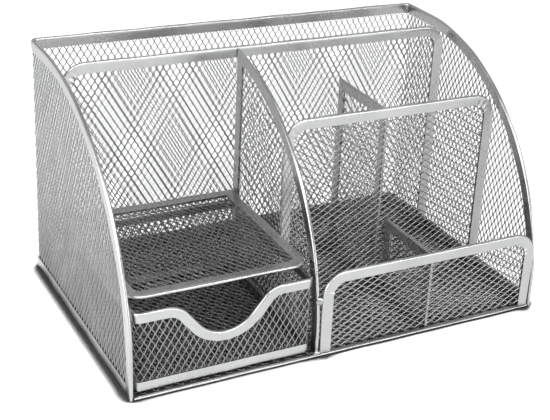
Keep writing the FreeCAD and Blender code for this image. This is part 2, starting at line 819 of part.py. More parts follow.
def make_drawer_trims():
    """The channel under the drawer's walls and the trim on top of its plain walls."""
    edges = drawer_edges()
    body = new_body("drawer_foot_trim")
    make_shell(body, edges, DRAWER_CORNERS, "0", "trim_thick", "drawer_trim_depth")
    cut_slot(body, edges, DRAWER_CORNERS, "sheet_thick", "drawer_trim_depth")
    place(body, "z", DRAWER_BOTTOM)

    body = new_body("drawer_top_trim")
    make_shell(body, edges, DRAWER_CORNERS, "0", "trim_thick", "drawer_trim_depth")
    cut_slot(body, edges, DRAWER_CORNERS, "0", "drawer_trim_depth - sheet_thick")
    mouth = [
        Edge("v", f"({DRAWER_FRONT} - overrun)", 1),
        Edge("u", DRAWER_FLAT_RIGHT, -1),
        Edge("v", f"({DRAWER_FRONT} + trim_thick + overrun)", -1),
        Edge("u", DRAWER_FLAT_LEFT, 1),
    ]
    sketch = new_sketch(body, "XY_Plane", "mouth")
    draw_outline(sketch, mouth, SQUARE_CORNERS)
    pocket(body, sketch, "drawer_trim_depth", symmetric=False, reversed_cut=True)
    place(body, "z", f"{DRAWER_TOP} - drawer_trim_depth")


def make_drawer_floor():
    """The drawer's floor of mesh, set inside the channel."""
    inner = "(trim_thick + fit_gap)"
    edges = [Edge(edge.axis, edge.inset(inner, inner), edge.inward, False)
             for edge in drawer_edges()]
    corners = [Fillet("(drawer_corner_radius - trim_thick - fit_gap)")] * 4
    make_mesh("drawer_floor_mesh", "XY_Plane", f"{DRAWER_BOTTOM} + mesh_thick / 2",
              edges, corners, upright)


def make_drawer():
    make_drawer_side("left")
    make_drawer_side("right")
    make_drawer_rear()
    make_drawer_front()
    make_drawer_trims()
    make_drawer_floor()


def check_and_write():
    """Stop if any feature failed or any sketch is loose, then write each sub-part."""
    doc.recompute()
    for feature in doc.Objects:
        if {"Invalid", "Error"} & set(feature.State):
            raise RuntimeError(f"{feature.Name} failed: {feature.State}")
        if feature.isDerivedFrom("Sketcher::SketchObject") and not feature.FullyConstrained:
            raise RuntimeError(f"{feature.Name} isn't fully constrained")
    bodies = [item for item in doc.Objects if item.isDerivedFrom("PartDesign::Body")]
    os.makedirs("parts", exist_ok=True)
    for body in bodies:
        shape = body.Shape
        if shape.isNull() or not shape.isValid() or len(shape.Solids) != 1:
            raise RuntimeError(f"{body.Label} isn't one valid solid")
    for body in bodies:
        body.Shape.exportStep(f"parts/{body.Label}.step")
        print(f"{body.Label}: {body.Shape.Volume:.0f} mm3")


make_end_panels()
make_back()
make_base()
make_partitions()
make_middle_divider()
make_shelf()
make_drawer()
check_and_write()
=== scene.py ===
"""The pen stand's finish: expanded mesh at its real pitch, folded trims and weld nuggets.

Each panel has flat coordinates: a runs across the mesh strands, b along them and n
through the sheet. A place function bends those coordinates onto the panel, flat or
wrapped round corners, so mesh and trims of one wall always fit. All sizes are in metres.
"""
import math
import bpy
import numpy as np
from mathutils import Matrix, Vector


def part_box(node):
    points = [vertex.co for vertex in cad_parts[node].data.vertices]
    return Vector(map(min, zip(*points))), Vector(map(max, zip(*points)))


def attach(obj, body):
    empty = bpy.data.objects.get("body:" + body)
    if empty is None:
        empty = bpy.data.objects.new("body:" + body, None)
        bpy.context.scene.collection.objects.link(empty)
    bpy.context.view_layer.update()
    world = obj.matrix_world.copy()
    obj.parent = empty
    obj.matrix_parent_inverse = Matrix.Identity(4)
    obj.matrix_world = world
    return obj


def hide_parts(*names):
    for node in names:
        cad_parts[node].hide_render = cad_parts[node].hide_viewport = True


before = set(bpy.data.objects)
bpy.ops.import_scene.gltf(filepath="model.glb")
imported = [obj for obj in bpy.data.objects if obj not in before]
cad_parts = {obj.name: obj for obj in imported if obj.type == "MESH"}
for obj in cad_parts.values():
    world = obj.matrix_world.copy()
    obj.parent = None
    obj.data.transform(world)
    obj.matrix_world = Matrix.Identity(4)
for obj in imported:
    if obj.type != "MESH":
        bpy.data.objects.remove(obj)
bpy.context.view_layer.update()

# Expanded mesh
DIAMOND_LONG = 0.0060
DIAMOND_SHORT = 0.0036
STRAND_WIDTH = 0.00048
STRAND_THICK = 0.0003
STRAND_LEAN = math.radians(38)
BOND_HALF = 0.00045
LEAST_LENGTH = 0.000001
WARP = 0.00012
WARP_LENGTHS = (0.047, 0.061)

# Folded trims
SHEET = 0.0004
LIP_PINCH = 0.7
CREST_POINTS = 9
FLANGE_POINTS = 4
CRIMP_HEIGHT = 0.00035
CRIMP_LENGTH = 0.0045
CRIMP_RADIUS = 0.0125
# A crimp's mean height and how far it swells and shrinks, as shares, and the crimps in a swell
CRIMP_SHARES = (0.6, 0.4)
CRIMPS_IN_A_SWELL = 3.7
# Points each way over which an edge's curvature is averaged
BEND_REACH = 4
WAVE_HEIGHT = 0.00007
WAVE_LENGTHS = (0.031, 0.053)
RUN_STEP = 0.003
TURN_STEP = 0.0008
PLAN_TURN_SHARE = 1 / 16
FEWEST_TURN_STEPS = 6
SHARP_ANGLE = math.radians(35)

# How far inside its trim's edge a mesh ends, and above the front panel's feet
MESH_INSET = 0.0012
FRONT_MESH_GAP = 0.0016

# Outlines that the boxes of the frame's nodes don't tell
SWEEP_RADIUS = 0.115
HOOP_RADIUS = 0.0125
SHELF_RADIUS = 0.009
CORNER_RADIUS = 0.0035
SCOOP_DEPTH = 0.0178
SCOOP_RADIUS = 0.017
SHOULDER_RADIUS = 0.0125
SCOOP_REACH = 0.0285

# Weld nuggets: centres as steps in from a side and back from the front, with the height
# over the ground, then the radii. Each ball is swollen by two sines of its angles.
NUGGET_ROWS = 11
NUGGET_COLUMNS = 16
NUGGET_SWELLS = (0.12, 0.08)
DIVIDER_WELDS = (
    ((-0.0010, 0.0009, 0.0300), (0.0022, 0.0011, 0.0019)),
    ((-0.0010, 0.0006, 0.0016), (0.0021, 0.0008, 0.0014)),
    ((0.0012, 0.0008, 0.0011), (0.0013, 0.0006, 0.0008)),
    ((-0.0012, 0.0006, 0.0049), (0.0007, 0.0007, 0.0008)),
    ((-0.0012, 0.0047, 0.0430), (0.0006, 0.0006, 0.0007)),
)
PANEL_END_WELD = ((0.0008, 0.0009, 0.0250), (0.0019, 0.0011, 0.0018))
END_UPPER_WELD = ((0.0010, 0.0006, 0.0046), (0.0008, 0.0007, 0.0009))
END_LOWER_WELD = ((0.0010, 0.0006, 0.0011), (0.0008, 0.0008, 0.0009))

# Silver paint: noise scales and details, and what the noise does to tone and gloss
CLOUD_NOISE = (45, 3)
SAND_NOISE = (2600, 2)
NOISE_RANGE = (0.3, 0.7)
CLOUD_TONE = (0.9, 1.05)
SAND_TONE = (0.88, 1.1)
CLOUD_GLOSS = (-0.06, 0.08)

X_AXIS, Y_AXIS, Z_AXIS = np.eye(3)


def span(node):
    """A node's lowest and highest corner as arrays."""
    low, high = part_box(node)
    return np.array(low), np.array(high)


def extent(node, axis):
    """A node's size along one axis."""
    low, high = span(node)
    return float(high[axis] - low[axis])


TRIM_THICK = extent("rear_partition_trim", 1)
TRIM_DEPTH = extent("back_trim", 2)
DRAWER_TRIM_DEPTH = extent("drawer_foot_trim", 2)


# Outlines in a panel's flat coordinates

def run(start, end, step=RUN_STEP):
    """Evenly spaced points from start up to, but without, end."""
    count = max(1, round(math.dist(start, end) / step))
    share = np.arange(count)[:, None] / count
    return np.array(start) * (1 - share) + np.array(end) * share


def turn(centre, radius, first, last, step=TURN_STEP):
    """Points round an arc between two angles in degrees, without the last one."""
    sweep = math.radians(last - first)
    count = max(FEWEST_TURN_STEPS, round(abs(sweep) * radius / step))
    angles = math.radians(first) + sweep * np.arange(count) / count
    return np.column_stack([centre[0] + radius * np.cos(angles),
                            centre[1] + radius * np.sin(angles)])


def side_normals(chain, turns=None):
    """Normals to the right of a chain of points, stretched so that offsets mitre.

    With unit steps before and after a point, the normal is the quarter turn of their sum,
    times two over the sum's squared length. turns is how far a closed chain's end lies
    from its start, which is nothing in plan, and the whole way round on an unrolled wall.
    """
    closed = turns is not None
    beyond = chain[:1] + turns if closed else chain[:0]
    steps = np.diff(chain, axis=0, append=beyond)
    steps = steps / np.linalg.norm(steps, axis=1, keepdims=True)
    before = np.roll(steps, 1, axis=0) if closed else np.vstack([steps[:1], steps])
    after = steps if closed else np.vstack([steps, steps[-1:]])
    total = before + after
    total *= 2 / np.sum(total ** 2, axis=1, keepdims=True)
    return np.column_stack([total[:, 1], -total[:, 0]])


def hoop(u0, u1, v0, v1, radius):
    """Up the left side, over the top and down the right side, with round or square corners."""
    if radius == 0:
        return np.vstack([run((u0, v0), (u0, v1)), run((u0, v1), (u1, v1)),
                          run((u1, v1), (u1, v0)), [(u1, v0)]])
    return np.vstack([
        run((u0, v0), (u0, v1 - radius)),
        turn((u0 + radius, v1 - radius), radius, 180, 90),
        run((u0 + radius, v1), (u1 - radius, v1)),
        turn((u1 - radius, v1 - radius), radius, 90, 0),
        run((u1, v1 - radius), (u1, v0)),
        [(u1, v0)],
    ])


def wave(middle, half, top):
    """The drawer front's rim: level, down round a shoulder, through the scoop and up again.

    Shoulders and scoop are arcs whose common tangents are the slants between them.
    """
    low = top - SCOOP_DEPTH + SCOOP_RADIUS
    fall = top - SHOULDER_RADIUS - low
    both = SCOOP_RADIUS + SHOULDER_RADIUS
    slope = math.degrees(math.atan2(fall, SCOOP_REACH)
                         + math.asin(both / math.hypot(SCOOP_REACH, fall)))
    left, right = middle - SCOOP_REACH, middle + SCOOP_REACH
    return np.vstack([
        run((middle - half, top), (left, top)),
        turn((left, top - SHOULDER_RADIUS), SHOULDER_RADIUS, 90, 90 - slope),
        turn((middle, low), SCOOP_RADIUS, 270 - slope, 270 + slope),
        turn((right, top - SHOULDER_RADIUS), SHOULDER_RADIUS, 90 + slope, 90),
        run((right, top), (middle + half, top)),
        [(middle + half, top)],
    ])


def corner_drop(distance, radius):
    """How far a rounded corner has fallen at some distance inside its side."""
    reach = np.clip(radius - distance, 0, radius)
    return radius - np.sqrt(radius ** 2 - reach ** 2)


# Places: flat coordinates to the panel in space

def flat(origin, a_axis, b_axis):
    """A flat panel through origin."""
    n_axis = np.cross(a_axis, b_axis)

    def place(a, b, n):
        return origin + a[..., None] * a_axis + b[..., None] * b_axis + n[..., None] * n_axis
    return place


class Wrap:
    """An upright wall that follows a chain of plan points, a along it and b up."""

    def __init__(self, chain, closed=False):
        normals = side_normals(chain, np.zeros(2) if closed else None)
        if closed:
            chain, normals = np.vstack([chain, chain[:1]]), np.vstack([normals, normals[:1]])
        lengths = np.linalg.norm(np.diff(chain, axis=0), axis=1)
        self.at = np.concatenate([[0], np.cumsum(lengths)])
        self.length = self.at[-1]
        self.chain = chain
        self.normals = normals
        self.closed = closed

    def along(self, a, values):
        """Values given at the chain's points, read at lengths a along it."""
        if self.closed:
            a = np.mod(a, self.length)
        return np.interp(a, self.at, values)

    def plan(self, a):
        """The wall's x and y at lengths a along it."""
        return self.along(a, self.chain[:, 0]), self.along(a, self.chain[:, 1])

    def __call__(self, a, b, n):
        """The plan's point moved out by n along its normal, at height b."""
        x, y = self.plan(a)
        return np.stack([x + n * self.along(a, self.normals[:, 0]),
                         y + n * self.along(a, self.normals[:, 1]), b], axis=-1)


# Surfaces

def expanded_mesh(across, low, high, place, lean):
    """Strands of expanded mesh between two bounds, as points and four-sided faces.

    The sheet is cut into strands that run along b, half a diamond apart. Strand k swings
    between its two neighbours as a flat-topped zigzag, and is bonded to one at each flat.
    Its section is a small rectangle that leans through the sheet, so the two strands of
    a bond lie edge to edge in one slanted line. Points past low or high are pulled back
    onto the bound, and faces left without length are dropped. Last, every point is moved
    across by a slow sine of its place, as a sheet does that isn't cut quite evenly.
    """
    count = max(2, 2 * round((across[1] - across[0]) / DIAMOND_SHORT))
    spacing = (across[1] - across[0]) / count
    k = np.arange(count)
    middle = across[0] + (k + 0.5) * spacing
    side = (1 - 2 * (k % 2))[:, None]
    bottom, top = low(middle)[:, None], high(middle)[:, None]
    reach = STRAND_WIDTH / 2 * np.array([math.cos(lean), math.sin(lean)])
    depth = STRAND_THICK / 2 * np.array([-math.sin(lean), math.cos(lean)])

    rows = np.arange(math.floor(bottom.min() / DIAMOND_LONG) - 1,
                     math.ceil(top.max() / DIAMOND_LONG) + 2)
    half = DIAMOND_LONG / 2
    knots = (rows[:, None] * DIAMOND_LONG
             + np.array([-BOND_HALF, BOND_HALF, half - BOND_HALF, half + BOND_HALF])).ravel()
    swing = np.tile([1, 1, -1, -1], len(rows))
    mitre_sign = np.tile([-1, 1, 1, -1], len(rows))
    slant = math.atan2(spacing - 2 * reach[0], half - 2 * BOND_HALF)
    mitre = math.tan(slant / 2) * STRAND_WIDTH / 2

    b = np.clip(knots[None, :], bottom, top)
    zigzag = side * np.interp(b.ravel(), knots, swing).reshape(b.shape)
    a = middle[:, None] + zigzag * (spacing / 2 - reach[0])
    n = -zigzag * reach[1]
    mitres = mitre * mitre_sign * side * (b == knots)

    wide = np.array([-1, 1, 1, -1])
    thick = np.array([-1, -1, 1, 1])
    a = a[..., None] + wide * reach[0] + thick * depth[0]
    n = n[..., None] + wide * reach[1] + thick * depth[1]
    edge_b = b[..., None] + wide * mitres[..., None]
    a = a + WARP * np.sin(2 * math.pi * (edge_b / WARP_LENGTHS[0] + a / WARP_LENGTHS[1]))
    points = place(a, edge_b, n).reshape(-1, 3)

    ring = 4 * np.arange(count * len(knots)).reshape(count, len(knots))
    live = np.diff(b, axis=1) > LEAST_LENGTH
    padded = np.pad(live, ((0, 0), (1, 1)))
    starts = ring[padded[:, 1:] & ~padded[:, :-1]]
    ends = ring[padded[:, :-1] & ~padded[:, 1:]]
    here, there = ring[:, :-1][live], ring[:, 1:][live]
    faces = [np.column_stack([here + c, here + (c + 1) % 4, there + (c + 1) % 4, there + c])
             for c in range(4)]
    faces.append(starts[:, None] + np.array([3, 2, 1, 0]))
    faces.append(ends[:, None] + np.array([0, 1, 2, 3]))
    faces = np.vstack(faces)
    used, renumbered = np.unique(faces, return_inverse=True)
    return points[used], renumbered.reshape(faces.shape)


def fold_section(thick, depth):
    """A folded strip's section: distance in from the edge, and across the panel.

    A half circle makes the crest, and two flanges close in from it to the lips. The inner
    skin repeats the outer one a sheet's thickness inside it.
    """
    radius = thick / 2
    angles = np.linspace(-math.pi / 2, math.pi / 2, CREST_POINTS)
    share = np.linspace(1, 0, FLANGE_POINTS, endpoint=False)
    flange_in = radius + share * (depth - radius)
    flange_across = radius * (1 - (1 - LIP_PINCH) * share)
    outer = np.vstack([
        np.column_stack([flange_in, -flange_across]),
        np.column_stack([radius - radius * np.cos(angles), radius * np.sin(angles)]),
        np.column_stack([flange_in, flange_across])[::-1],
    ])
    core = radius - SHEET
    inner = np.vstack([
        np.column_stack([flange_in, SHEET - flange_across]),
        np.column_stack([radius - core * np.cos(angles), core * np.sin(angles)]),
        np.column_stack([flange_in, flange_across - SHEET])[::-1],
    ])
    return outer, inner


def fold(chain, thick, depth, place, turns, seed):
    """A strip folded over a panel's edge, as points and four-sided faces.

    The section is carried along the edge's chain. Its flanges are crimped where the edge
    turns: a sine along the edge, whose height grows with the edge's curvature, averaged
    over a few points each way, and with the square of the distance in. The crest wanders
    inwards by a slow sum of sines.
    """
    outer, inner = fold_section(thick, depth)
    section = np.vstack([outer, inner[::-1]])
    closed = turns is not None
    normals = side_normals(chain, turns)
    steps = np.linalg.norm(np.diff(chain, axis=0, append=chain[-1:]), axis=1)
    at = np.concatenate([[0], np.cumsum(steps)[:-1]])
    unit = normals / np.linalg.norm(normals, axis=1, keepdims=True)
    bend = np.linalg.norm(np.gradient(unit, axis=0), axis=1) / np.gradient(at)
    window = np.full(2 * BEND_REACH + 1, 1 / (2 * BEND_REACH + 1))
    bend = np.convolve(np.pad(bend * CRIMP_RADIUS, BEND_REACH, mode="edge"), window, "valid")
    bend = np.clip(bend, 0, 1)[:, None]

    *slow, swell, near, far = np.random.default_rng(seed).uniform(0, 2 * math.pi, 5)
    wander = sum(np.sin(2 * math.pi * at / length + phase)
                 for length, phase in zip(WAVE_LENGTHS, slow))
    wander = WAVE_HEIGHT * (len(WAVE_LENGTHS) + wander)[:, None]
    inward, across = section[:, 0], section[:, 1]
    lip = (inward / depth) ** 2
    angle = 2 * math.pi * at[:, None] / CRIMP_LENGTH
    uneven = CRIMP_SHARES[0] + CRIMP_SHARES[1] * np.sin(angle / CRIMPS_IN_A_SWELL + swell)
    crimp = np.sin(angle + np.where(across > 0, near, far)) * uneven
    n = across * (1 - wander / thick) + CRIMP_HEIGHT * bend * lip * crimp
    p = np.broadcast_to(inward + wander * (1 - lip), n.shape)
    a = chain[:, :1] + p * normals[:, :1]
    b = chain[:, 1:] + p * normals[:, 1:]
    points = place(a, b, n).reshape(-1, 3)

    rings, width, half = len(chain), len(section), len(outer)
    ring = width * np.arange(rings)
    here = ring if closed else ring[:-1]
    there = np.roll(ring, -1) if closed else ring[1:]
    j = np.arange(width)
    after = (j + 1) % width
    faces = [np.stack([here[:, None] + j, here[:, None] + after,
                       there[:, None] + after, there[:, None] + j], axis=-1).reshape(-1, 4)]
    if not closed:
        i = np.arange(half - 1)
        cap = np.column_stack([i, width - 1 - i, width - 2 - i, i + 1])
        faces += [cap, cap[:, ::-1] + ring[-1]]
    return points, np.vstack(faces)


def nugget(centre, radii, seed):
    """A weld nugget: a ball whose radius swells and shrinks by a few sines of its angles."""
    rows, columns = NUGGET_ROWS, NUGGET_COLUMNS
    latitude = np.linspace(-math.pi / 2, math.pi / 2, rows)[1:-1, None]
    longitude = 2 * math.pi * np.arange(columns)[None, :] / columns
    phases = np.random.default_rng(seed).uniform(0, 2 * math.pi, 3)
    broad, fine = NUGGET_SWELLS
    swell = (1 + broad * np.sin(3 * longitude + phases[0]) * np.cos(latitude)
             + fine * np.sin(4 * latitude + phases[1]) * np.cos(2 * longitude + phases[2]))
    ball = np.stack([swell * np.cos(latitude) * np.cos(longitude),
                     swell * np.cos(latitude) * np.sin(longitude),
                     swell * np.sin(latitude)], axis=-1).reshape(-1, 3)
    points = np.vstack([ball, [(0, 0, -1), (0, 0, 1)]]) * radii + centre
    i = np.arange(columns)
    after = (i + 1) % columns
    row = columns * np.arange(rows - 3)[:, None]
    first, second = row + i, row + after
    last = columns * (rows - 3)
    south, north = np.full(columns, len(ball)), np.full(columns, len(ball) + 1)
    faces = [np.stack([first, second, second + columns], axis=-1).reshape(-1, 3),
             np.stack([first, second + columns, first + columns], axis=-1).reshape(-1, 3),
             np.column_stack([south, after, i]),
             np.column_stack([north, last + i, last + after])]
    return points, np.vstack(faces)


# Materials

def silver_grain():
    """A node group: cloudy tone, uneven gloss and the fine sandy relief of silver paint."""
    group = bpy.data.node_groups.new("silver grain", "ShaderNodeTree")
    for name, way, kind in (("Tone", "INPUT", "NodeSocketColor"),
                            ("Gloss", "INPUT", "NodeSocketFloat"),
                            ("Relief", "INPUT", "NodeSocketFloat"),
                            ("Color", "OUTPUT", "NodeSocketColor"),
                            ("Roughness", "OUTPUT", "NodeSocketFloat"),
                            ("Normal", "OUTPUT", "NodeSocketVector")):
        group.interface.new_socket(name, in_out=way, socket_type=kind)
    nodes, links = group.nodes, group.links
    inlet, outlet = nodes.new("NodeGroupInput"), nodes.new("NodeGroupOutput")
    place = nodes.new("ShaderNodeTexCoord")

    def noise(scale, detail):
        texture = nodes.new("ShaderNodeTexNoise")
        texture.inputs["Scale"].default_value = scale
        texture.inputs["Detail"].default_value = detail
        links.new(place.outputs["Object"], texture.inputs["Vector"])
        return texture.outputs["Fac"]

    def spread(value, low, high):
        node = nodes.new("ShaderNodeMapRange")
        node.inputs["From Min"].default_value, node.inputs["From Max"].default_value = NOISE_RANGE
        node.inputs["To Min"].default_value = low
        node.inputs["To Max"].default_value = high
        links.new(value, node.inputs["Value"])
        return node.outputs["Result"]

    cloud, sand = noise(*CLOUD_NOISE), noise(*SAND_NOISE)
    shade = nodes.new("ShaderNodeMix")
    shade.data_type = "RGBA"
    shade.blend_type = "MULTIPLY"
    shade.inputs["Factor"].default_value = 1
    shade_value = nodes.new("ShaderNodeMath")
    shade_value.operation = "MULTIPLY"
    links.new(spread(cloud, *CLOUD_TONE), shade_value.inputs[0])
    links.new(spread(sand, *SAND_TONE), shade_value.inputs[1])
    links.new(inlet.outputs["Tone"], shade.inputs["A"])
    links.new(shade_value.outputs["Value"], shade.inputs["B"])
    links.new(shade.outputs["Result"], outlet.inputs["Color"])

    gloss = nodes.new("ShaderNodeMath")
    gloss.operation = "ADD"
    links.new(inlet.outputs["Gloss"], gloss.inputs[0])
    links.new(spread(cloud, *CLOUD_GLOSS), gloss.inputs[1])
    links.new(gloss.outputs["Value"], outlet.inputs["Roughness"])

    bump = nodes.new("ShaderNodeBump")
    bump.inputs["Strength"].default_value = 1
    links.new(inlet.outputs["Relief"], bump.inputs["Distance"])
    links.new(sand, bump.inputs["Height"])
    links.new(bump.outputs["Normal"], outlet.inputs["Normal"])
    return group


SILVER_GRAIN = silver_grain()


def silver_paint(name, tone, roughness, relief):
    """Silver paint over steel: wholly metallic, and grained by the shared group."""
    material = bpy.data.materials.new(name)
    material.use_nodes = True
    nodes, links = material.node_tree.nodes, material.node_tree.links
    shader = nodes["Principled BSDF"]
    grain = nodes.new("ShaderNodeGroup")
    grain.node_tree = SILVER_GRAIN
    grain.inputs["Tone"].default_value = (*tone, 1)
    grain.inputs["Gloss"].default_value = roughness
    grain.inputs["Relief"].default_value = relief
    shader.inputs["Metallic"].default_value = 1
    links.new(grain.outputs["Color"], shader.inputs["Base Color"])
    links.new(grain.outputs["Roughness"], shader.inputs["Roughness"])
    links.new(grain.outputs["Normal"], shader.inputs["Normal"])
    return material


STRAND_SILVER = silver_paint("strand silver", tone=(0.31, 0.313, 0.316), roughness=0.22,
                             relief=0.00002)
TRIM_SILVER = silver_paint("trim silver", tone=(0.47, 0.474, 0.478), roughness=0.26,
                           relief=0.00003)
WELD_SILVER = silver_paint("weld silver", tone=(0.36, 0.363, 0.366), roughness=0.18,
                           relief=0.00006)


# Pieces

def signed_volume(points, faces):
    """Six times the volume inside the faces, below zero where they point inwards."""
    corner = points[faces[:, 0]]
    first = np.cross(points[faces[:, 1]], points[faces[:, 2]])
    last = np.cross(points[faces[:, -2]], points[faces[:, -1]])
    return np.sum(corner * first) + np.sum(corner * last)


def add_piece(name, points, faces, material, body, nodes=(), smooth=True):
    """Make a mesh piece of the stand or the drawer that stands for nodes of the frame."""
    if signed_volume(points, faces) < 0:
        faces = faces[:, ::-1]
    mesh = bpy.data.meshes.new(name)
    sides = faces.shape[1]
    mesh.vertices.add(len(points))
    mesh.vertices.foreach_set("co", points.astype(np.float32).ravel())
    mesh.loops.add(faces.size)
    mesh.loops.foreach_set("vertex_index", faces.astype(np.int32).ravel())
    mesh.polygons.add(len(faces))
    mesh.polygons.foreach_set("loop_start", np.arange(0, faces.size, sides, dtype=np.int32))
    mesh.update(calc_edges=True)
    mesh.validate()
    if smooth:
        mesh.shade_smooth()
        mesh.set_sharp_from_angle(angle=SHARP_ANGLE)
    mesh.materials.append(material)
    piece = bpy.data.objects.new(name, mesh)
    bpy.context.scene.collection.objects.link(piece)
    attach(piece, body)
    if nodes:
        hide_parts(*nodes)


def add_strands(name, nodes, across, low, high, place, body="stand", lean=STRAND_LEAN):
    """One panel's expanded mesh, across a and between the bounds low and high along b."""
    points, faces = expanded_mesh(across, low, high, place, lean)
    add_piece(name, points, faces, STRAND_SILVER, body, nodes, smooth=False)


def add_fold(name, nodes, chain, thick, depth, place, body="stand", turns=None):
    """One folded trim along a chain, its wander and crimps drawn from its own name."""
    seed = sum(map(ord, name))
    points, faces = fold(chain, thick, depth, place, turns, seed)
    add_piece(name, points, faces, TRIM_SILVER, body, nodes)


def add_nuggets(name, nuggets):
    """The weld nuggets of one seam as one piece, each a centre and its three radii."""
    points, faces, count = [], [], 0
    for seed, (centre, radii) in enumerate(nuggets):
        ball, sides = nugget(np.array(centre), np.array(radii), seed)
        points.append(ball)
        faces.append(sides + count)
        count += len(ball)
    add_piece(name, np.vstack(points), np.vstack(faces), WELD_SILVER, "stand")


def level_bound(height):
    """A bound of expanded mesh that stays at one height."""
    return lambda a: np.full_like(a, height)


def sweep_height(y, front, top, radius):
    """The height of an end wall's top edge: a quarter circle, then level."""
    reach = np.clip(front + radius - y, 0, radius)
    return top - radius + np.sqrt(radius ** 2 - reach ** 2)


def wall_plan(low, high, radius, thick):
    """The plan chain of a wall up the left side, along the rear and down the right side."""
    half = thick / 2
    x0, x1, y0, y1 = low[0] + half, high[0] - half, low[1], high[1] - half
    r = radius - half
    return np.vstack([
        run((x0, y0), (x0, y1 - r)),
        turn((x0 + r, y1 - r), r, 180, 90, r * PLAN_TURN_SHARE),
        run((x0 + r, y1), (x1 - r, y1)),
        turn((x1 - r, y1 - r), r, 90, 0, r * PLAN_TURN_SHARE),
        run((x1, y1 - r), (x1, y0)),
        [(x1, y0)],
    ])


def make_walls():
    """The outer wall, one bent sheet, with its swept rim and its foot channel."""
    low, _ = span("left_end_trim")
    _, high = span("right_end_trim")
    high[1] = span("back_mesh")[1][1] + (TRIM_THICK - extent("shelf_mesh", 2)) / 2
    wall = Wrap(wall_plan(low, high, CORNER_RADIUS, TRIM_THICK))
    front, top = low[1], high[2]

    def rim(a):
        return sweep_height(wall.plan(a)[1], front + MESH_INSET, top - MESH_INSET,
                            SWEEP_RADIUS - MESH_INSET)
    add_strands("wall_strands", ["left_end_mesh", "back_mesh", "right_end_mesh"],
                (MESH_INSET, wall.length - MESH_INSET), level_bound(MESH_INSET), rim, wall,
                lean=-STRAND_LEAN)

    foot = top - SWEEP_RADIUS
    end = wall.length
    chain = np.vstack([
        run((0, 0), (0, foot)),
        turn((SWEEP_RADIUS, foot), SWEEP_RADIUS, 180, 90, RUN_STEP),
        run((SWEEP_RADIUS, top), (end - SWEEP_RADIUS, top), TURN_STEP),
        turn((end - SWEEP_RADIUS, foot), SWEEP_RADIUS, 90, 0, RUN_STEP),
        run((end, foot), (end, 0)),
        [(end, 0)],
    ])
    add_fold("rim_fold", ["left_end_trim", "back_trim", "right_end_trim"], chain,
             TRIM_THICK, TRIM_DEPTH, wall)

    start = span("foot_trim")[0][1] - front
    chain = np.vstack([run((end - start, 0), (start, 0), TURN_STEP), [(start, 0)]])
    add_fold("foot_fold", ["foot_trim"], chain, TRIM_THICK, TRIM_DEPTH, wall)


def make_hoop_panel(name, axis, radius, upright, foot_gap=0, lean=STRAND_LEAN):
    """An upright panel inside its three-sided hoop, its strands upright or level.

    foot_gap is how far above the hoop's feet its mesh starts.
    """
    low, high = span(f"{name}_trim")
    through = (low + high) / 2
    u = 0 if axis is X_AXIS else 1
    (u0, v0), (u1, v1) = (low[u], low[2]), (high[u], high[2])
    origin = through * (1 - axis - Z_AXIS)
    place = flat(origin, axis, Z_AXIS)
    chain = hoop(u0, u1, v0, v1, radius)
    thick = high[1 - u] - low[1 - u]
    add_fold(f"{name}_fold", [f"{name}_trim"], chain, thick, TRIM_DEPTH, place)
    left, right, top = u0 + MESH_INSET, u1 - MESH_INSET, v1 - MESH_INSET
    r = max(radius - MESH_INSET, 0)
    if upright:
        add_strands(f"{name}_strands", [f"{name}_mesh"], (left, right), level_bound(v0 + foot_gap),
                    lambda a: top - corner_drop(np.minimum(a - left, right - a), r),
                    place, lean=lean)
    else:
        add_strands(f"{name}_strands", [f"{name}_mesh"], (v0 + foot_gap, top),
                    lambda a: left + corner_drop(top - a, r),
                    lambda a: right - corner_drop(top - a, r),
                    flat(origin, Z_AXIS, axis), lean=lean)


def make_middle_divider():
    """The tall divider, swept like the end walls."""
    low, high = span("middle_divider_trim")
    place = flat((low + high) / 2 * X_AXIS, Y_AXIS, Z_AXIS)
    end_low, end_high = span("left_end_trim")
    inset = low[1] - end_low[1]
    radius = SWEEP_RADIUS - inset
    front, rear, bottom, top = low[1], high[1], low[2], end_high[2] - inset
    centre = front + radius
    last = 90 + math.degrees(math.asin((centre - rear) / radius))
    chain = np.vstack([
        run((front, bottom), (front, top - radius)),
        turn((centre, top - radius), radius, 180, last, RUN_STEP),
        run((rear, high[2]), (rear, bottom)),
        [(rear, bottom)],
    ])
    add_fold("middle_divider_fold", ["middle_divider_trim"], chain, TRIM_THICK, TRIM_DEPTH, place)
    add_strands("middle_divider_strands", ["middle_divider_mesh"],
                (front + MESH_INSET, rear - MESH_INSET), level_bound(bottom),
                lambda a: sweep_height(a, front + MESH_INSET, top - MESH_INSET,
                                       radius - MESH_INSET), place)


def make_shelf():
    """The level shelf over the drawer in its closed frame."""
    low, high = span("shelf_trim")
    place = flat((low + high) / 2 * Z_AXIS, X_AXIS, Y_AXIS)
    x0, x1, y0, y1 = low[0], high[0], low[1], high[1]
    r = SHELF_RADIUS
    chain = np.vstack([
        run((x0, y0 + r), (x0, y1)), run((x0, y1), (x1, y1)), run((x1, y1), (x1, y0 + r)),
        turn((x1 - r, y0 + r), r, 0, -90),
        run((x1 - r, y0), (x0 + r, y0)),
        turn((x0 + r, y0 + r), r, -90, -180),
    ])
    add_fold("shelf_fold", ["shelf_trim"], chain, high[2] - low[2], TRIM_DEPTH, place,
             turns=np.zeros(2))

    def front(a):
        return corner_drop(np.minimum(a - x0, x1 - a) - MESH_INSET, r - MESH_INSET) + MESH_INSET
    add_strands("shelf_strands", ["shelf_mesh"], (x0 + MESH_INSET, x1 - MESH_INSET),
                lambda a: y0 + front(a), level_bound(y1 - MESH_INSET), place)


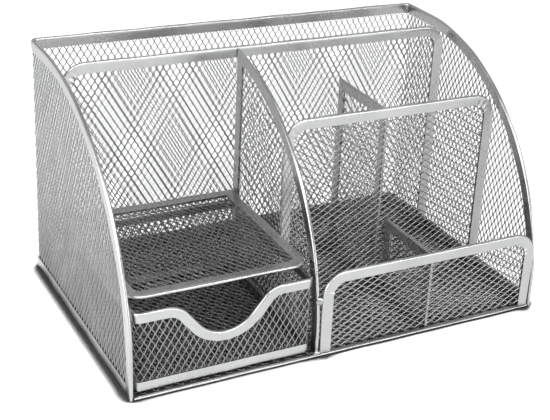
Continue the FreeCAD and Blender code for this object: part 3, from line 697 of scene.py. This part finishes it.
def make_base():
    """The mesh floor and the narrow hem along its front edge."""
    low, high = span("base_mesh")
    middle = (low + high) / 2 * Z_AXIS
    add_strands("base_strands", ["base_mesh"], (low[1] + MESH_INSET, high[1]),
                level_bound(low[0]), level_bound(high[0]), flat(middle, Y_AXIS, X_AXIS))
    low, high = span("base_front_trim")
    chain = np.vstack([run((high[0], low[1]), (low[0], low[1])), [(low[0], low[1])]])
    add_fold("base_front_fold", ["base_front_trim"], chain, high[2] - low[2],
             high[1] - low[1], flat(middle, X_AXIS, Y_AXIS))


def make_drawer():
    """The drawer: one mesh wall bent round four corners, its rim, its channel and floor."""
    low, high = span("drawer_foot_trim")
    top = span("drawer_top_trim")[1][2]
    half, r = TRIM_THICK / 2, CORNER_RADIUS - TRIM_THICK / 2
    x0, x1, y0, y1 = low[0] + half, high[0] - half, low[1] + half, high[1] - half
    middle = (x0 + x1) / 2
    front = (x1 - x0) / 2 - r
    plan = np.vstack([
        run((middle, y0), (x0 + r, y0)),
        turn((x0 + r, y0 + r), r, 270, 180, r * PLAN_TURN_SHARE),
        run((x0, y0 + r), (x0, y1 - r)),
        turn((x0 + r, y1 - r), r, 180, 90, r * PLAN_TURN_SHARE),
        run((x0 + r, y1), (x1 - r, y1)),
        turn((x1 - r, y1 - r), r, 90, 0, r * PLAN_TURN_SHARE),
        run((x1, y1 - r), (x1, y0 + r)),
        turn((x1 - r, y0 + r), r, 0, -90, r * PLAN_TURN_SHARE),
        run((x1 - r, y0), (middle, y0)),
    ])
    wall = Wrap(plan, closed=True)
    rim = wave(0.0, front, top)
    below = rim - np.array([0, MESH_INSET])
    tucked = below + side_normals(below) * MESH_INSET / 2

    def bound(a):
        across = np.mod(a + wall.length / 2, wall.length) - wall.length / 2
        return np.interp(-across, tucked[:, 0], tucked[:, 1])
    add_strands("drawer_wall_strands",
                ["drawer_left_mesh", "drawer_right_mesh", "drawer_rear_mesh",
                 "drawer_front_mesh"],
                (0, wall.length), level_bound(low[2] + MESH_INSET), bound, wall, "drawer")
    mirrored = rim[::-1] * [-1, 1]
    level = run((front, top), (wall.length - front, top), TURN_STEP)
    chain = np.vstack([mirrored[:-1], level])
    add_fold("drawer_rim_fold", ["drawer_top_trim", "drawer_front_trim"], chain,
             TRIM_THICK, DRAWER_TRIM_DEPTH, wall, "drawer", turns=np.array([wall.length, 0]))
    chain = run((wall.length, low[2]), (0, low[2]), TURN_STEP)
    add_fold("drawer_foot_fold", ["drawer_foot_trim"], chain, TRIM_THICK, DRAWER_TRIM_DEPTH,
             wall, "drawer", turns=np.array([-wall.length, 0]))

    low, high = span("drawer_floor_mesh")
    add_strands("drawer_floor_strands", ["drawer_floor_mesh"], (low[0], high[0]),
                level_bound(low[1]), level_bound(high[1]),
                flat((low + high) / 2 * Z_AXIS, X_AXIS, Y_AXIS), "drawer")


def make_welds():
    """The nuggets in front, where the panels are welded to the divider and the end walls."""
    front = span("middle_divider_trim")[0][1]
    panel_low, panel_high = span("front_panel_trim")
    outer = span("right_end_trim")[1][0]

    def weld(side, way, table_row):
        """A table's row as a centre and radii, stepped from a side in one way along x."""
        (step, back, height), radii = table_row
        return (side + way * step, front + back, height), radii
    add_nuggets("divider_welds", [weld(panel_low[0], 1, row) for row in DIVIDER_WELDS])
    add_nuggets("right_end_welds", [weld(panel_high[0], -1, PANEL_END_WELD),
                                    weld(outer, -1, END_UPPER_WELD),
                                    weld(outer, -1, END_LOWER_WELD)])
    add_nuggets("left_end_welds", [weld(-outer, 1, END_LOWER_WELD)])


make_walls()
make_hoop_panel("rear_partition", X_AXIS, HOOP_RADIUS, upright=True, lean=-STRAND_LEAN)
make_hoop_panel("pocket_partition", X_AXIS, HOOP_RADIUS, upright=False)
make_hoop_panel("front_panel", X_AXIS, HOOP_RADIUS, upright=False,
                foot_gap=FRONT_MESH_GAP)
make_hoop_panel("rear_cross_divider", Y_AXIS, 0, upright=True)
make_hoop_panel("front_cross_divider", Y_AXIS, 0, upright=False)
make_middle_divider()
make_shelf()
make_base()
make_drawer()
make_welds()


# Camera, floor and light

CAMERA_PLACE = (-0.2752, -0.5115, 0.3207)
CAMERA_YAW, CAMERA_PITCH, CAMERA_ROLL = map(math.radians, (30.51, 22.94, 3.97))
CAMERA_LENS = 82.23
CAMERA_SENSOR = 36
CAMERA_SHIFT = (-0.1065, -0.0971)

FLOOR_HALF = 6.0
FLOOR_ROUGHNESS = 0.9
# Painted shadow: the floor's colour where the stand covers it from the room
PAINTED_SHADOW_FLOOR = (0.06, 0.06, 0.06)
OPEN_FLOOR = (0.5, 0.5, 0.5)
# How far up the floor looks for cover, and the shares of open view that count as none and all;
# covered floor gets a painted shadow
PAINTED_SHADOW_REACH = 0.012
PAINTED_SHADOW_SHARES = (0.68, 0.82)

SKY_LIGHT = 0.15
# Height above the horizon, as the sine of its angle, and grey
SKY_BANDS = ((0.0, 1.0), (0.25, 0.95), (0.33, 0.15), (0.42, 0.15), (0.5, 0.85), (1.0, 0.45))


def make_camera():
    """The photograph's view: turned by yaw, tipped down by pitch and rolled."""
    forward = Vector((math.sin(CAMERA_YAW) * math.cos(CAMERA_PITCH),
                      math.cos(CAMERA_YAW) * math.cos(CAMERA_PITCH), -math.sin(CAMERA_PITCH)))
    right = Vector((math.cos(CAMERA_YAW), -math.sin(CAMERA_YAW), 0))
    up = right.cross(forward)
    turned = right * math.cos(CAMERA_ROLL) + up * math.sin(CAMERA_ROLL)
    raised = up * math.cos(CAMERA_ROLL) - right * math.sin(CAMERA_ROLL)
    camera = bpy.data.cameras.new("camera")
    camera.lens = CAMERA_LENS
    camera.sensor_width = CAMERA_SENSOR
    camera.shift_x, camera.shift_y = CAMERA_SHIFT
    holder = bpy.data.objects.new("camera", camera)
    axes = Matrix((turned, raised, -forward)).transposed()
    holder.matrix_world = Matrix.Translation(CAMERA_PLACE) @ axes.to_4x4()
    bpy.context.scene.collection.objects.link(holder)
    bpy.context.scene.camera = holder


def seen_rays(nodes, links):
    """One where a ray comes from the camera, a mirror or glass, else nothing."""
    path = nodes.new("ShaderNodeLightPath")
    total = path.outputs["Is Camera Ray"]
    for ray in ("Is Glossy Ray", "Is Transmission Ray"):
        either = nodes.new("ShaderNodeMath")
        either.operation = "MAXIMUM"
        links.new(total, either.inputs[0])
        links.new(path.outputs[ray], either.inputs[1])
        total = either.outputs["Value"]
    return total


def make_floor():
    """A pale floor, white where it lies open to the room, with a painted shadow where the stand
    covers it: ambient occlusion darkens its colour and fades its glow.
    """
    side = FLOOR_HALF
    mesh = bpy.data.meshes.new("floor")
    mesh.from_pydata([(-side, -side, 0), (side, -side, 0), (side, side, 0), (-side, side, 0)],
                     [], [(0, 1, 2, 3)])
    floor = bpy.data.objects.new("floor", mesh)
    bpy.context.scene.collection.objects.link(floor)
    material = bpy.data.materials.new("pale floor")
    material.use_nodes = True
    nodes, links = material.node_tree.nodes, material.node_tree.links
    shader = nodes["Principled BSDF"]
    shader.inputs["Roughness"].default_value = FLOOR_ROUGHNESS
    shader.inputs["Specular IOR Level"].default_value = 0
    open_sky = nodes.new("ShaderNodeAmbientOcclusion")
    open_sky.inputs["Distance"].default_value = PAINTED_SHADOW_REACH
    # Painted shadow mask: one where the floor lies open, falling to none under the stand
    unshadowed_share = nodes.new("ShaderNodeMapRange")
    unshadowed_share.interpolation_type = "SMOOTHSTEP"
    unshadowed_share.inputs["From Min"].default_value = PAINTED_SHADOW_SHARES[0]
    unshadowed_share.inputs["From Max"].default_value = PAINTED_SHADOW_SHARES[1]
    links.new(open_sky.outputs["AO"], unshadowed_share.inputs["Value"])
    tone = nodes.new("ShaderNodeMix")
    tone.data_type = "RGBA"
    tone.inputs["A"].default_value = (*PAINTED_SHADOW_FLOOR, 1)
    tone.inputs["B"].default_value = (*OPEN_FLOOR, 1)
    links.new(unshadowed_share.outputs["Result"], tone.inputs["Factor"])
    links.new(tone.outputs["Result"], shader.inputs["Base Color"])
    # The glow fades into the painted shadow under the stand as well
    glow = nodes.new("ShaderNodeMath")
    glow.operation = "MULTIPLY"
    links.new(unshadowed_share.outputs["Result"], glow.inputs[1])
    links.new(seen_rays(nodes, links), glow.inputs[0])
    shader.inputs["Emission Color"].default_value = (1, 1, 1, 1)
    links.new(glow.outputs["Value"], shader.inputs["Emission Strength"])
    mesh.materials.append(material)


def make_world():
    """A surround in level bands: white at the horizon, dark above it and pale overhead.

    Seen by the camera, mirrors and glass it has its full strength, else that of SKY_LIGHT.
    """
    world = bpy.data.worlds.new("surround")
    world.use_nodes = True
    nodes, links = world.node_tree.nodes, world.node_tree.links
    background = nodes["Background"]
    direction = nodes.new("ShaderNodeTexCoord")
    parts = nodes.new("ShaderNodeSeparateXYZ")
    links.new(direction.outputs["Generated"], parts.inputs["Vector"])
    bands = nodes.new("ShaderNodeValToRGB")
    links.new(parts.outputs["Z"], bands.inputs["Fac"])
    ramp = bands.color_ramp
    ramp.interpolation = "EASE"
    for rise, _ in SKY_BANDS[1:-1]:
        ramp.elements.new(rise)
    for element, (rise, grey) in zip(ramp.elements, SKY_BANDS):
        element.position = rise
        element.color = (grey, grey, grey, 1)
    links.new(bands.outputs["Color"], background.inputs["Color"])
    level = nodes.new("ShaderNodeMapRange")
    level.inputs["To Min"].default_value = SKY_LIGHT
    level.inputs["To Max"].default_value = 1
    links.new(seen_rays(nodes, links), level.inputs["Value"])
    links.new(level.outputs["Result"], background.inputs["Strength"])
    bpy.context.scene.world = world


def add_lamp(name, place, target, power, width, height):
    """A rectangular lamp that shines from its place at a target."""
    lamp = bpy.data.lights.new(name, "AREA")
    lamp.shape = "RECTANGLE"
    lamp.size = width
    lamp.size_y = height
    lamp.energy = power
    holder = bpy.data.objects.new(name, lamp)
    aim = Vector(target) - Vector(place)
    holder.matrix_world = (Matrix.Translation(place)
                           @ aim.to_track_quat("-Z", "Y").to_matrix().to_4x4())
    bpy.context.scene.collection.objects.link(holder)


make_camera()
make_floor()
make_world()
add_lamp("front lamp", place=(0.62, -1.2, 0.16), target=(0.05, -0.05, 0.03),
         power=3, width=0.5, height=0.3)
add_lamp("top lamp", place=(-0.15, -0.75, 0.9), target=(0, 0, 0.05),
         power=10.5, width=1.2, height=0.35)
add_lamp("left lamp", place=(-0.42, -0.1, 0.16), target=(-0.11, 0, 0.04),
         power=1.5, width=0.4, height=0.22)

bpy.context.scene.view_settings.view_transform = "Standard"
